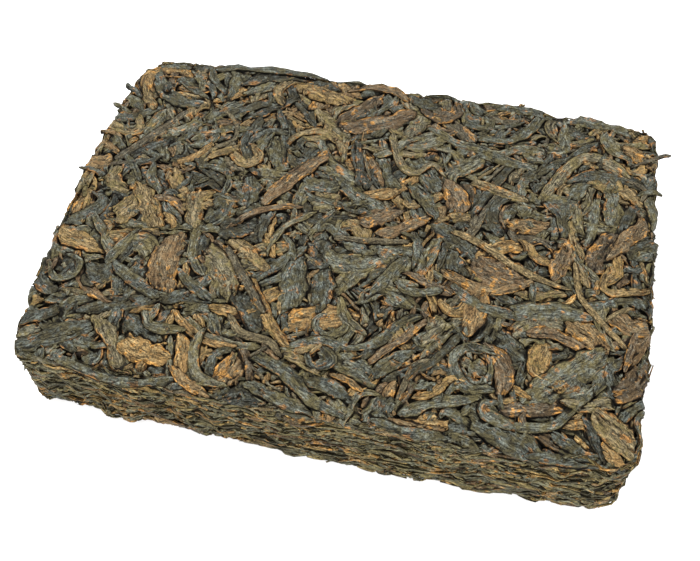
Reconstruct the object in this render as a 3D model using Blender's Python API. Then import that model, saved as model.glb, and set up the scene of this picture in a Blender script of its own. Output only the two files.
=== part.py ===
"""A pressed brick of ripe pu erh tea, as one solid out to its uneven outline.

Metres, +Z up. The origin is the centre of the underside, +X runs along the brick and +Z through it.
"""

import math

import bmesh
import bpy
from mathutils import Vector, noise

# Driving dimensions: the whole brick, ragged edges included.
LENGTH = 0.142
WIDTH = 0.098
THICKNESS = 0.024

# The mould leaves round corners, and the tea swells out between them.
CORNER_RADIUS = 0.009
BOW_LEFT = 0.0035
BOW_RIGHT = 0.0012
BOW_FRONT = 0.0012
BOW_BACK = 0.0022
BOW_SHARPNESS = 4

# How fast the sides' unevenness fades out towards the middle of the faces.
RIM_SHARPNESS = 12

# Height by which the top and bottom edges are worn round.
EDGE_WEAR = 0.0016

# Relief left by the leaves: lumps on the pressed face, thin layers at the sides.
LUMP_SIZE = 0.0055
LUMP_HEIGHT = 0.0018
SWELL_SIZE = 0.034
SWELL_HEIGHT = 0.0008
LAYER_LENGTH = 0.012
LAYER_HEIGHT = 0.0042
LAYER_DEPTH = 0.0024

# Cells that the faces are cut into, and how closely the layers bunch towards the two faces.
CELLS_LONG = 54
CELLS_WIDE = 38
LAYERS = 9
LAYER_BUNCHING = 0.6

# Places where leaves broke away at the rim of the upper face: x, y, radius, depth.
BROKEN_PLACES = (
    (-0.043, -0.048, 0.010, 0.0024),
    (0.061, -0.047, 0.009, 0.0030),
    (0.004, 0.048, 0.007, 0.0022),
    (-0.070, -0.007, 0.006, 0.0020),
    (0.044, 0.048, 0.006, 0.0016),
)

TEA_COLOUR = (0.043, 0.033, 0.022, 1.0)
TEA_ROUGHNESS = 0.6


def clear_scene():
    for obj in list(bpy.data.objects):
        bpy.data.objects.remove(obj)


def unit_block():
    """A block cut into cells: u and v run from -1 to 1 over its faces, w from 0 to 1 through it."""
    block = bmesh.new()
    bmesh.ops.create_grid(block, x_segments=CELLS_LONG, y_segments=CELLS_WIDE, size=1.0)
    lower = list(block.faces)
    extruded = bmesh.ops.extrude_face_region(block, geom=lower, use_keep_orig=True)
    upper = [item for item in extruded["geom"] if isinstance(item, bmesh.types.BMVert)]
    bmesh.ops.translate(block, verts=upper, vec=(0.0, 0.0, 1.0))
    upright = [edge for edge in block.edges if abs(edge.verts[0].co.z - edge.verts[1].co.z) > 0.5]
    bmesh.ops.subdivide_edges(block, edges=upright, cuts=LAYERS - 1, use_grid_fill=True)
    underside = [face for face in block.faces if face.calc_center_median().z < 1e-6]
    bmesh.ops.dissolve_faces(block, faces=underside)
    bmesh.ops.recalc_face_normals(block, faces=block.faces)
    return block


def rounded_corner(along, across):
    """Turns a square corner, both values from 0 to 1, into a quarter of a disc."""
    return (
        along * math.sqrt(1.0 - across * across / 2.0),
        across * math.sqrt(1.0 - along * along / 2.0),
    )


def plan_point(u, v):
    """The place in plan of unit point u, v: straight sides bowed out between round corners."""
    bow_x = BOW_LEFT if u < 0 else BOW_RIGHT
    bow_y = BOW_FRONT if v < 0 else BOW_BACK
    corner_x = LENGTH / 2 - bow_x
    corner_y = WIDTH / 2 - bow_y
    x = abs(u) * corner_x
    y = abs(v) * corner_y
    past_x = (x - corner_x + CORNER_RADIUS) / CORNER_RADIUS
    past_y = (y - corner_y + CORNER_RADIUS) / CORNER_RADIUS
    if past_x > 0 and past_y > 0:
        past_x, past_y = rounded_corner(past_x, past_y)
        x = corner_x - CORNER_RADIUS + CORNER_RADIUS * past_x
        y = corner_y - CORNER_RADIUS + CORNER_RADIUS * past_y
    x += bow_x * (1.0 - v * v) * abs(u) ** BOW_SHARPNESS
    y += bow_y * (1.0 - u * u) * abs(v) ** BOW_SHARPNESS
    return math.copysign(x, u), math.copysign(y, v)


def layer_height(w):
    """Height of layer w, from 0 to 1: the layers lie closer together near the two faces."""
    return THICKNESS * (w - LAYER_BUNCHING * math.sin(2 * math.pi * w) / (2 * math.pi))


def edge_inset(z):
    """How far the worn top and bottom edges draw in at height z."""
    past = max(EDGE_WEAR - z, z - (THICKNESS - EDGE_WEAR), 0.0) / EDGE_WEAR
    return EDGE_WEAR * (1.0 - math.sqrt(max(0.0, 1.0 - past * past)))


def outward(u, v):
    """Direction out of the side nearest to u, v: 1 long at the rim, and fading fast towards the middle."""
    side = Vector((math.copysign(abs(u) ** RIM_SHARPNESS, u), math.copysign(abs(v) ** RIM_SHARPNESS, v)))
    return side.normalized() if side.length > 1 else side


def layers_at(x, y, z):
    """Inward depth of the layered side at x, y, z, from 0 to LAYER_DEPTH."""
    value = noise.noise(Vector((x / LAYER_LENGTH, y / LAYER_LENGTH, z / LAYER_HEIGHT)))
    return LAYER_DEPTH * (0.5 + 0.5 * value)


def face_drop(x, y):
    """Depth of the upper face below its highest level at x, y."""
    lump = noise.noise(Vector((x / LUMP_SIZE, y / LUMP_SIZE, 0.0)))
    swell = noise.noise(Vector((x / SWELL_SIZE, y / SWELL_SIZE, 5.0)))
    drop = LUMP_HEIGHT * (0.5 - 0.5 * lump) + SWELL_HEIGHT * (0.5 - 0.5 * swell)
    for place_x, place_y, radius, depth in BROKEN_PLACES:
        away = math.hypot(x - place_x, y - place_y) / radius
        if away < 1.0:
            drop += depth * (1.0 - away * away) ** 2
    return drop


def pressed_point(u, v, w):
    """The place of unit point u, v, w on the finished brick."""
    x, y = plan_point(u, v)
    z = layer_height(w)
    side = outward(u, v)
    inward = edge_inset(z) + layers_at(x, y, z)
    x -= side.x * inward
    y -= side.y * inward
    z -= face_drop(x, y) * w * w
    return Vector((x, y, z))


def trim_to_size(block):
    """Brings the brick exactly to its length, width and thickness, and centres it on the origin."""
    for axis, size, low_end in ((0, LENGTH, -LENGTH / 2), (1, WIDTH, -WIDTH / 2), (2, THICKNESS, 0.0)):
        values = [vert.co[axis] for vert in block.verts]
        low = min(values)
        scale = size / (max(values) - low)
        for vert in block.verts:
            vert.co[axis] = low_end + (vert.co[axis] - low) * scale


def tea_material():
    material = bpy.data.materials.new("pressed_tea")
    material.use_nodes = True
    shader = material.node_tree.nodes["Principled BSDF"]
    shader.inputs["Base Color"].default_value = TEA_COLOUR
    shader.inputs["Roughness"].default_value = TEA_ROUGHNESS
    shader.inputs["Metallic"].default_value = 0.0
    return material


def tea_brick():
    block = unit_block()
    for vert in block.verts:
        vert.co = pressed_point(*vert.co)
    trim_to_size(block)
    mesh = bpy.data.meshes.new("tea_brick")
    block.to_mesh(mesh)
    block.free()
    mesh.materials.append(tea_material())
    brick = bpy.data.objects.new("tea_brick", mesh)
    bpy.context.collection.objects.link(brick)
    return brick


clear_scene()
tea_brick()
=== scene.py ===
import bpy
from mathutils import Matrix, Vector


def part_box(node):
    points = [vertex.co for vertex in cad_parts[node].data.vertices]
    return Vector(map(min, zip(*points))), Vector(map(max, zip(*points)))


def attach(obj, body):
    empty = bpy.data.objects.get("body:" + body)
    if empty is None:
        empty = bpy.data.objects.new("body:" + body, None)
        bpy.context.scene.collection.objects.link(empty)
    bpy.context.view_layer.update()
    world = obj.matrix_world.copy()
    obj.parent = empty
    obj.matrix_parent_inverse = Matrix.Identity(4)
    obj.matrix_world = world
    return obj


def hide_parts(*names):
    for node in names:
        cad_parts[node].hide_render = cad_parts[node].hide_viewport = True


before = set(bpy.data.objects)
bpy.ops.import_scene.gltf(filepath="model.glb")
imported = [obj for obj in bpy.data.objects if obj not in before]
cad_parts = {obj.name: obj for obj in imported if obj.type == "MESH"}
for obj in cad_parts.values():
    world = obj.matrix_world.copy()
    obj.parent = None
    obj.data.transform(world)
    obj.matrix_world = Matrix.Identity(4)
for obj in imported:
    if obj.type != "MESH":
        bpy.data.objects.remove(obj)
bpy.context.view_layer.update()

import copy
import math

import bmesh
import bpy
import numpy as np
from mathutils import Matrix, Vector

# The brick is laid out in millimetres, and each piece is turned into metres as its mesh is made.
METRE = 0.001
CAD_NODE = "tea_brick"
BODY = "root"
low_corner, high_corner = (np.array(corner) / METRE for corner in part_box(CAD_NODE))
LENGTH, WIDTH, THICKNESS = high_corner - low_corner

# Plan of the brick: straight sides that swell out between round corners.
FRONT_LEFT_RADIUS = 3.5
FRONT_RIGHT_RADIUS = 6.0
BACK_LEFT_RADIUS = 8.0
BACK_RIGHT_RADIUS = 5.0
BOW_LEFT = 3.5
BOW_RIGHT = 1.2
BOW_FRONT = 1.2
BOW_BACK = 2.2
# How far the leaves' outline stands out from the brick's nominal one, between its hollows.
PROUD = 0.9
PROUD_RIGHT = 0.4
# How far inside the brick's sides and faces its finer core begins.
CORE_INSET = 2.0
CORE_DEPTH = 1.9
# How far the core lies behind the layers of the sides.
CORE_SINK = 0.75
# Radius over which the leaves of a pressed face bend down at the rim.
SHOULDER = 1.6
# Places where leaves broke away at the rim of the upper face: x, y, radius, depth.
BROKEN_PLACES = (
    (-43, -48, 10, 2.0),
    (60, -46, 9, 1.8),
    (9, 49, 8, 1.8),
    (-70, -7, 6, 1.4),
    (44, 48, 6, 1.2),
    (-61, 48, 10, 1.3),
)

# Hollows and (with a depth below 0) swells of the sides: x, y, z, length, height, depth.
HOLLOWS = (
    (-40, -49, 20.5, 9, 2.4, 2.2),
    (58, -46, 21.5, 6, 2.6, 2.4),
    (20, -49, 12.0, 5, 1.5, 1.0),
    (-10, -49, 6.0, 4, 1.4, 1.0),
    (-28, -49, 1.5, 10, 4.0, 1.0),
    (-46, -49, 2.0, 6, 3.5, -0.9),
    (-58, -49, 1.5, 7, 3.5, 1.1),
    (20, -49, 2.5, 9, 4.0, -0.5),
    (38, -49, 2.5, 7, 4.0, -0.9),
    (67, -46, 1.5, 6, 4.0, 1.2),
    (68, -46, 7.0, 6, 7.0, -0.9),
    (-70, -48, 12.0, 5, 8.0, -0.6),
)

random = np.random.default_rng(41)


# ---------------------------------------------------------------- outline of the brick

def half_sizes(x, y):
    """Half the length and half the width of the plan, measured through the point x, y."""
    bow_x = np.where(x < 0, BOW_LEFT, BOW_RIGHT)
    bow_y = np.where(y < 0, BOW_FRONT, BOW_BACK)
    across = np.clip(2.0 * y / WIDTH, -1, 1)
    along = np.clip(2.0 * x / LENGTH, -1, 1)
    proud_x = np.where(x < 0, PROUD, PROUD_RIGHT)
    return LENGTH / 2 + proud_x - bow_x * across**2, WIDTH / 2 + PROUD - bow_y * along**2


def past_outline(x, y):
    """Distance outside the plan's outline (negative inside) and the direction out of the nearest side."""
    half_x, half_y = half_sizes(x, y)
    back_radius = np.where(x < 0, BACK_LEFT_RADIUS, BACK_RIGHT_RADIUS)
    front_radius = np.where(x < 0, FRONT_LEFT_RADIUS, FRONT_RIGHT_RADIUS)
    radius = np.where(y > 0, back_radius, front_radius)
    over_x = np.abs(x) - half_x + radius
    over_y = np.abs(y) - half_y + radius
    at_corner = (over_x > 0) & (over_y > 0)
    reach = np.hypot(over_x, over_y)
    distance = np.where(at_corner, reach, np.maximum(over_x, over_y)) - radius
    safe = np.maximum(reach, 1e-6)
    out_x = np.where(at_corner, over_x / safe, over_x >= over_y) * np.sign(x)
    out_y = np.where(at_corner, over_y / safe, over_x < over_y) * np.sign(y)
    return distance, out_x, out_y


def upper_place(x, y, h):
    """Where a point of the upper face goes: x, y in plan, and h above the press plate, bent over at the rim."""
    distance, out_x, out_y = past_outline(x, y)
    past = np.maximum(distance + SHOULDER, 0)
    angle = np.minimum(past / SHOULDER, math.pi / 2)
    hanging = np.maximum(past - SHOULDER * math.pi / 2, 0)
    radius = np.maximum(SHOULDER + h, 0.3)
    push = radius * np.sin(angle) - past
    z = np.where(past > 0, THICKNESS - SHOULDER + radius * np.cos(angle) - hanging, THICKNESS + h)
    shift = np.where(past > 0, push, 0)
    return np.stack((x + out_x * shift, y + out_y * shift, z), -1)


def under_place(x, y, h):
    """The same for the underside, seen from below with y turned round; it rests flat."""
    x, y, z = np.moveaxis(upper_place(x, -y, np.minimum(h, 0)), -1, 0)
    return np.stack((x, y, np.maximum(THICKNESS - z, 0)), -1)


def stiff_place(x, y, h):
    """Where a leaf of the upper face goes that is too stiff to bend over the rim."""
    return np.stack((x, y, THICKNESS + h), -1)


def outline_table(step=0.5):
    """Points and outward directions round the outline, evenly spaced and anticlockwise."""
    turn = np.linspace(0, 2 * math.pi, 4000, endpoint=False)
    far_x, far_y = np.cos(turn) * LENGTH, np.sin(turn) * LENGTH
    low, high = np.zeros_like(turn), np.ones_like(turn)
    for _ in range(40):
        middle = (low + high) / 2
        outside = past_outline(far_x * middle, far_y * middle)[0] > 0
        high = np.where(outside, middle, high)
        low = np.where(outside, low, middle)
    x, y = far_x * low, far_y * low
    gap = np.hypot(np.roll(x, -1) - x, np.roll(y, -1) - y)
    travelled = np.concatenate(((0,), np.cumsum(gap)))
    total = travelled[-1]
    even = np.arange(0, total, total / round(total / step))
    x = np.interp(even, travelled, np.append(x, x[0]))
    y = np.interp(even, travelled, np.append(y, y[0]))
    _, out_x, out_y = past_outline(x * 1.0001, y * 1.0001)
    return total, np.stack((x, y, out_x, out_y), -1)


PERIMETER, OUTLINE = outline_table()


def side_place(s, z, out):
    """A point of the sides: s round the outline, z up, and out from the outline."""
    place = (s % PERIMETER) / PERIMETER * len(OUTLINE)
    index = np.floor(place).astype(int) % len(OUTLINE)
    part = (place - np.floor(place))[..., None]
    row = OUTLINE[index] * (1 - part) + OUTLINE[(index + 1) % len(OUTLINE)] * part
    return np.stack((row[..., 0] + row[..., 2] * out, row[..., 1] + row[..., 3] * out, np.maximum(z, 0)), -1)


# ---------------------------------------------------------------- laying leaves under a press plate

def waves(x, y, size, seed, octaves=3):
    """Smooth unevenness between about -1 and 1, with lumps of the given size."""
    draw = np.random.default_rng(seed)
    total = np.zeros(np.broadcast(x, y).shape)
    for octave in range(octaves):
        for _ in range(4):
            angle, phase = draw.uniform(0, 2 * math.pi, 2)
            pitch = 2 * math.pi / size * 1.9**octave * draw.uniform(0.7, 1.3)
            total += np.sin((x * math.cos(angle) + y * math.sin(angle)) * pitch + phase) * 0.5**octave
    return total / 3.2


CRUMPLES = [
    (random.uniform(0, 2 * math.pi), 2 * math.pi / size, random.uniform(0, 2 * math.pi), size)
    for size in (1.3, 1.6, 2.0, 2.5, 3.1, 3.9, 1.4, 1.8, 2.3, 2.9, 3.6)
]


def crumple(x, y, amount):
    """The small dents and swellings of crumpled leaf, other ones for each call."""
    off_x, off_y = random.uniform(0, 90, 2)
    total = np.zeros(x.shape)
    for angle, pitch, phase, size in CRUMPLES:
        total += size / 2.5 * np.sin(((x + off_x) * math.cos(angle) + (y + off_y) * math.sin(angle)) * pitch + phase)
    return total * amount / 2.4


class Bed:
    """A face of the brick, seen from its press plate: what each new leaf has to pass under."""

    CELL = 0.25
    # How far a leaf may bulge past the plate, and how deep an empty hole looks at the most.
    BULGE = 0.2
    HOLE = 1.4

    def __init__(self, x_range, y_range, plate, place, inside, closed=False):
        self.x0, self.y0 = x_range[0], y_range[0]
        self.nx = int(round((x_range[1] - x_range[0]) / self.CELL))
        self.ny = int(round((y_range[1] - y_range[0]) / self.CELL))
        self.closed = closed
        self.place = place
        grid_x, grid_y = np.meshgrid(
            self.x0 + (np.arange(self.nx) + 0.5) * self.CELL,
            self.y0 + (np.arange(self.ny) + 0.5) * self.CELL,
            indexing="ij",
        )
        self.plate = plate(grid_x, grid_y)
        self.ceiling = self.plate + self.BULGE
        self.shown = self.plate - self.HOLE
        self.inside = inside(grid_x, grid_y)
        self.bare = self.inside.copy()
        self.around = self.shown.copy()
        self.grid_x, self.grid_y = grid_x, grid_y
        self.area = self.inside.sum()

    def with_place(self, place):
        """The same bed, for leaves that are carried to another place."""
        twin = copy.copy(self)
        twin.place = place
        return twin

    def cells(self, x, y):
        column = np.floor((x - self.x0) / self.CELL).astype(int)
        row = np.floor((y - self.y0) / self.CELL).astype(int)
        column = column % self.nx if self.closed else np.clip(column, 0, self.nx - 1)
        return column, np.clip(row, 0, self.ny - 1)

    def read(self, layer, x, y):
        return layer[self.cells(x, y)]

    def press(self, x, y, top, under):
        """Notes what a leaf covers: its underside lowers the ceiling for all that is laid after it."""
        cells = self.cells(x, y)
        np.maximum.at(self.shown, cells, top)
        np.minimum.at(self.ceiling, cells, under)
        self.bare[cells] = False

    def bare_share(self):
        return self.bare.sum() / self.area

    def bare_spot(self):
        """A random place that nothing covers yet."""
        spots = np.flatnonzero(self.bare)
        if not len(spots):
            return None
        spot = spots[random.integers(len(spots))]
        return self.grid_x.flat[spot], self.grid_y.flat[spot]

    def leave_gap(self, x, y):
        """Gives up covering a small place: it stays a dark hole."""
        reach = np.arange(-1, 2) * self.CELL
        self.bare[self.cells(x + reach[:, None], y + reach[None])] = False

    def settle(self):
        """Once all is laid: how high the leaves round each place reach, between their mean and their highest."""
        mean, highest = self.shown, self.shown
        for axis in (0, 1):
            rolled = [np.roll(highest, step, axis) for step in range(-2, 3)]
            highest = np.max(rolled, axis=0)
            for _ in range(2):
                mean = sum(np.roll(mean, step, axis) for step in range(-2, 3)) / 5
        self.around[:] = (mean + highest) / 2


class Kind:
    """How one kind of leaf or stem is shaped: its section, its folds and how many rings its mesh has."""

    def __init__(
        self, rings, top_sides, thick, drop, flatness, folds, fold_height, tapered, tip, ragged, crumpled, twist,
        steep,
    ):
        self.rings = rings
        self.thick = thick
        self.drop = drop
        self.flatness = flatness
        self.folds = folds
        self.fold_height = fold_height
        self.tapered = tapered
        self.tip = tip
        self.ragged = ragged
        self.crumpled = crumpled
        self.twist = twist
        self.steep = steep
        # The section runs over the top from the left edge to the right one, and back underneath.
        spread = np.linspace(1, -1, top_sides)
        self.top = np.sign(spread) * (1 - (1 - np.abs(spread)) ** 1.6)
        self.bottom = np.array((-0.6, 0.0, 0.6)) if top_sides > 9 else np.array((-0.45, 0.45))
        self.side = np.concatenate((self.top, self.bottom))
        self.sides = len(self.side)


def smooth_path(points, count):
    """A smooth curve through a few points, as evenly spaced points."""
    points = np.array(points, float)
    if len(points) == 2:
        bend = (points[1] - points[0])[::-1] * (0.03, -0.03)
        points = np.array((points[0], points.mean(0) + bend, points[1]))
    padded = np.concatenate((2 * points[:1] - points[1:2], points, 2 * points[-1:] - points[-2:-1]))
    curve = []
    for a, b, c, d in zip(padded, padded[1:], padded[2:], padded[3:]):
        t = np.linspace(0, 1, 16, endpoint=False)[:, None]
        curve.append(0.5 * (2 * b + (c - a) * t + (2 * a - 5 * b + 4 * c - d) * t**2 + (3 * b - a - 3 * c + d) * t**3))
    curve = np.concatenate((*curve, points[-1:]))
    return evenly(curve, count)


def evenly(curve, count):
    travelled = np.concatenate(((0,), np.cumsum(np.hypot(*np.diff(curve, axis=0).T))))
    even = np.linspace(0, travelled[-1], count)
    return np.stack([np.interp(even, travelled, curve[:, axis]) for axis in (0, 1)], -1)


def random_path(length, width, count, x, y, heading, straightness):
    """A leaf's centre line through x, y: straight, bent, wavy, hooked or curled up."""
    t = np.linspace(0, 1, count)
    form = random.uniform()
    hand = random.choice((-1.0, 1.0))
    if form < straightness:
        bend = hand * random.uniform(0, 0.5) * (t - 0.5)
    elif form < straightness + (1 - straightness) * 0.38:
        bend = hand * random.uniform(0.5, 1.7) * (t - 0.5)
    elif form < straightness + (1 - straightness) * 0.60:
        bend = random.uniform(0.4, 0.9) * np.sin(2 * math.pi * (t * random.uniform(0.8, 1.3) + random.uniform()))
    elif form < straightness + (1 - straightness) * 0.82:
        knee = random.uniform(0.45, 0.75)
        bend = hand * random.uniform(1.2, 2.5) * np.clip((t - knee) / 0.3, 0, 1) ** 1.3
    else:
        most = length / (0.85 * width)
        bend = hand * min(random.uniform(2.2, 4.4), most) * t
    angle = heading + bend + 0.12 * np.sin(2 * math.pi * (t * 2.1 + random.uniform()))
    step = length / (count - 1)
    steps = np.stack((np.cos(angle), np.sin(angle)), -1) * step
    curve = np.concatenate((np.zeros((1, 2)), np.cumsum((steps[1:] + steps[:-1]) / 2, axis=0)))
    anchor = random.uniform(0.3, 0.7)
    return curve - curve[int(anchor * (count - 1))] + (x, y)


def wobble(count, swing, pieces):
    """Random unevenness along a leaf, of about the given swing."""
    knots = random.normal(0, swing, pieces + 2)
    t = np.linspace(0, pieces, count)
    index = np.minimum(t.astype(int), pieces - 1)
    part = t - index
    part = part * part * (3 - 2 * part)
    return knots[index] * (1 - part) + knots[index + 1] * part


def ends(crowd, length, width):
    """How near each ring is to the leaf's two ends: 1 at the end itself and 0 a width away from it."""
    first = np.clip(1 - crowd * length / width, 0, 1)
    last = np.clip(1 - (1 - crowd) * length / width, 0, 1)
    return first, last


def cut_out(kind, crowd, length, width):
    """Half widths of a leaf to its left and right edge, with tips, necks and ragged edges."""
    rings = len(crowd)
    tapered = random.uniform(size=2) < kind.tapered
    sharpness = np.where(tapered, random.uniform(1.6, 4.0, 2), 30.0)
    tips = np.where(tapered, 0.15, random.uniform(*kind.tip, 2))
    at_start = crowd < 0.5
    roundness = np.abs(2 * crowd - 1) ** np.where(at_start, *sharpness)
    fullness = np.maximum(np.clip(1 - roundness, 0, 1) ** 0.5, np.where(at_start, *tips))
    wide_start, wide_end = random.uniform(0.6, 1.0, 2)
    body = wide_start + (wide_end - wide_start) * crowd + 0.25 * np.sin(math.pi * crowd)
    if random.uniform() < kind.tapered:
        neck = random.uniform(0.3, 0.7)
        body = body * (1 - random.uniform(0.2, 0.5) * np.exp(-(((crowd - neck) / 0.1) ** 2)))
    bumps = max(3, int(length / 2.5))
    edges = []
    for _ in "ab":
        rough = wobble(rings, kind.ragged, bumps) + wobble(rings, kind.ragged * 0.7, max(3, rings // 2))
        edges.append(width / 2 * fullness * np.clip(body * (1 + rough), 0.35, 1.6))
    return fullness, edges[0], edges[1]


def pleats(kind, u, rings):
    """Lengthwise folds: crests with creases between them, which wander and fade along the leaf."""
    if not kind.folds:
        return np.zeros((rings, len(u)))
    count = kind.folds * 2 + 1
    places = np.linspace(-1, 1, count)
    places[1:-1] += random.uniform(-0.35, 0.35, count - 2) / kind.folds
    sign = np.where(np.arange(count) % 2 == random.integers(2), 1.0, -1.0)
    heights = np.stack([wobble(rings, 0.45, 4) + random.uniform(0.2, 1.0) for _ in range(count)], -1) * sign
    drift = wobble(rings, 0.12, 3)
    rows = [np.interp(u + drift[ring], places, heights[ring]) for ring in range(rings)]
    return np.clip(np.stack(rows), -1.3, 1.0) * kind.fold_height / 2


def lay(bed, kind, path, width, level=0.0, tilt=0.0, lift=0.0):
    """Lays one leaf as high under the bed's ceiling as it can bend, and presses it into the bed.

    One edge sinks in among its neighbours and the other stands clear of them, as tilt says.
    The answer has a row for each ring and a column for each side of the section: x, y and h, and the
    surface's own measures: across, along, height of the fold and nearness to the leaf's edge.
    """
    rings = kind.rings
    path = evenly(path, rings)
    t = np.linspace(0, 1, rings)
    crowd = t - 0.5 * np.sin(2 * math.pi * t) / (2 * math.pi)
    spots = np.stack([np.interp(crowd, t, path[:, axis]) for axis in (0, 1)], -1)
    length = np.hypot(*np.diff(path, axis=0).T).sum()
    forward = np.gradient(spots, axis=0)
    forward /= np.maximum(np.hypot(forward[:, 0], forward[:, 1]), 1e-6)[:, None]
    left = np.stack((-forward[:, 1], forward[:, 0]), -1)

    fullness, left_half, right_half = cut_out(kind, crowd, length, width)
    side = kind.side[None]
    lateral = np.where(side > 0, side * left_half[:, None], side * right_half[:, None])
    near_start, near_end = ends(crowd, length, width)
    slant = near_start * random.normal(0, 0.7) + near_end * random.normal(0, 0.7)
    torn = np.interp(kind.side, np.linspace(-1, 1, 7), random.normal(0, 0.12 * width, 7))
    torn = torn[None] * (near_end**3 - near_start**3)[:, None] * fullness[:, None]
    pull = lateral * slant[:, None] + torn
    x = spots[:, :1] + left[:, :1] * lateral + forward[:, :1] * pull
    y = spots[:, 1:] + left[:, 1:] * lateral + forward[:, 1:] * pull
    warp = kind.ragged * min(width, 4.0) * 0.3
    x, y = x + crumple(x, y, warp), y + crumple(x, y, warp)

    u = kind.top[None]
    tops = len(kind.top)
    top_x, top_y = x[:, :tops], y[:, :tops]
    thick = kind.thick * random.uniform(0.8, 1.2) * np.clip(fullness, 0.5, 1)[:, None]
    drop = np.minimum(kind.drop, thick * 0.8) * np.abs(u) ** random.uniform(*kind.flatness)
    fold = pleats(kind, kind.top, rings) * np.minimum(1, 1.5 * fullness)[:, None]
    bumps = max(3, int(length / 2.5))
    lean = (tilt + wobble(rings, kind.twist, bumps)[:, None]) * u
    relief = fold + lean - drop + wobble(rings, 0.05, rings // 2)[:, None] + crumple(top_x, top_y, kind.crumpled)

    above = bed.read(bed.ceiling, top_x, top_y)
    plate = bed.read(bed.plate, top_x, top_y)
    inner = slice(1, tops - 1)
    room = (np.minimum(above, plate - level) - lean)[:, inner]
    crest = np.quantile(room, 0.8, axis=1)
    reach = kind.steep * np.abs(crowd[:, None] - crowd[None]) * length
    crest = (crest[None] + reach).min(1)
    dive = near_start**2 * random.uniform(0, 0.5) + near_end**2 * random.uniform(0, 0.5) * (lift == 0)
    loose = lift * np.clip((crowd - 0.55) / 0.45, 0, 1) ** 1.6
    top = np.minimum(crest[:, None] - dive[:, None] + relief, above - 0.05)
    padded = np.pad(top, 1, mode="edge")
    soft = (padded[:-2, 1:-1] + padded[2:, 1:-1] + padded[1:-1, :-2] + padded[1:-1, 2:] + 2 * top) / 6
    top = np.minimum(top, soft + 0.3) + loose[:, None]
    under = np.minimum(top[:, tops // 2][:, None], top.mean(1, keepdims=True)) - thick + 0 * kind.bottom[None]
    h = np.concatenate((top, under), axis=1)
    crest_line = np.broadcast_to(top[:, tops // 2][:, None], under.shape)
    seen = np.concatenate((top, crest_line), axis=1)

    fine_s = np.linspace(0, rings - 1, max(rings, int(length / 0.2)))
    fine_u = np.linspace(0, tops - 1, max(5, int(width / 0.2)))
    cover_top = resample(top, fine_s, fine_u)
    cover_side = np.interp(fine_u, np.arange(tops), kind.top)[None] * (1.0 if tilt >= 0 else -1.0)
    sunk = 0.14 + 0.26 * (0.5 + 0.5 * cover_side)
    cover_under = np.where(cover_side < -0.75, np.inf, cover_top - sunk)
    bed.press(resample(top_x, fine_s, fine_u), resample(top_y, fine_s, fine_u), cover_top, cover_under)

    along = np.broadcast_to((crowd * length)[:, None], x.shape)
    # edge: nearness to the leaf's edge, from which the finishes paint crack shade; full on the raised edge, about 0.93
    # on the sunk edge so the shade there is lighter, and 0.5 underneath.
    hidden = 0.93 + 0.05 * wobble(rings, 1.0, bumps)[:, None]
    raised = np.where(side * (1.0 if tilt >= 0 else -1.0) > 0, 1.0, np.clip(hidden, 0, 1))
    edge = np.abs(side) * raised
    edge[:, tops:] = 0.5
    fold = np.concatenate((fold, np.zeros((rings, len(kind.bottom)))), axis=1)
    return np.stack((x, y, h, seen, lateral, along, fold, edge), -1)


def resample(grid, rows, columns):
    """The grid's values at fractional rows and columns."""
    row = np.minimum(rows.astype(int), grid.shape[0] - 2)
    column = np.minimum(columns.astype(int), grid.shape[1] - 2)
    row_part = (rows - row)[:, None]
    column_part = (columns - column)[None]
    near = grid[row][:, column] * (1 - column_part) + grid[row][:, column + 1] * column_part
    far = grid[row + 1][:, column] * (1 - column_part) + grid[row + 1][:, column + 1] * column_part
    return near * (1 - row_part) + far * row_part


def fresh_share(bed, path, width):
    """How much of a leaf would cover what is still bare."""
    forward = np.gradient(path, axis=0)
    forward /= np.maximum(np.hypot(forward[:, 0], forward[:, 1]), 1e-6)[:, None]
    score = 0.0
    for offset in (-0.35 * width, 0.0, 0.35 * width):
        x = path[:, 0] - forward[:, 1] * offset
        y = path[:, 1] + forward[:, 0] * offset
        score += bed.read(bed.bare, x, y).mean()
    return score / 3


def best_path(bed, length, width, straightness, tries, heading=None, spread=math.pi, least=0.0):
    """Of a few random leaves over a bare spot, the one that covers most bare ground.

    Where the best would hide under its neighbours, the spot stays a dark gap and nothing is laid.
    """
    spot = bed.bare_spot()
    if spot is None:
        return None
    best, best_score = None, -1.0
    for _ in range(tries):
        if heading is None:
            way = random.uniform(0, 2 * math.pi)
        else:
            way = heading + random.normal(0, spread) + random.choice((0, math.pi))
        path = random_path(length, width, 14, *spot, way, straightness)
        score = fresh_share(bed, path, width)
        if score > best_score:
            best, best_score = path, score
    if best_score < least:
        bed.leave_gap(*spot)
        return None
    return best


# ---------------------------------------------------------------- meshes

def leaf_blank(rings, sides):
    """A closed tube of the given rings and sides, and the ring and side that each vertex belongs to."""
    form = bmesh.new()
    bmesh.ops.create_cone(form, cap_ends=True, segments=sides, radius1=1, radius2=1, depth=rings - 1)
    upright = [edge for edge in form.edges if abs(edge.verts[0].co.z - edge.verts[1].co.z) > 0.5]
    bmesh.ops.subdivide_edges(form, edges=upright, cuts=rings - 2, use_grid_fill=True)
    mesh = bpy.data.meshes.new("blank")
    form.to_mesh(mesh)
    form.free()
    places = np.empty(len(mesh.vertices) * 3)
    mesh.vertices.foreach_get("co", places)
    places = places.reshape(-1, 3)
    ring = np.rint(places[:, 2] + (rings - 1) / 2).astype(int)
    turn = np.arctan2(places[:, 1], places[:, 0]) / (2 * math.pi) * sides
    side = np.rint(turn - turn.min()).astype(int) % sides
    return mesh, ring, side


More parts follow.
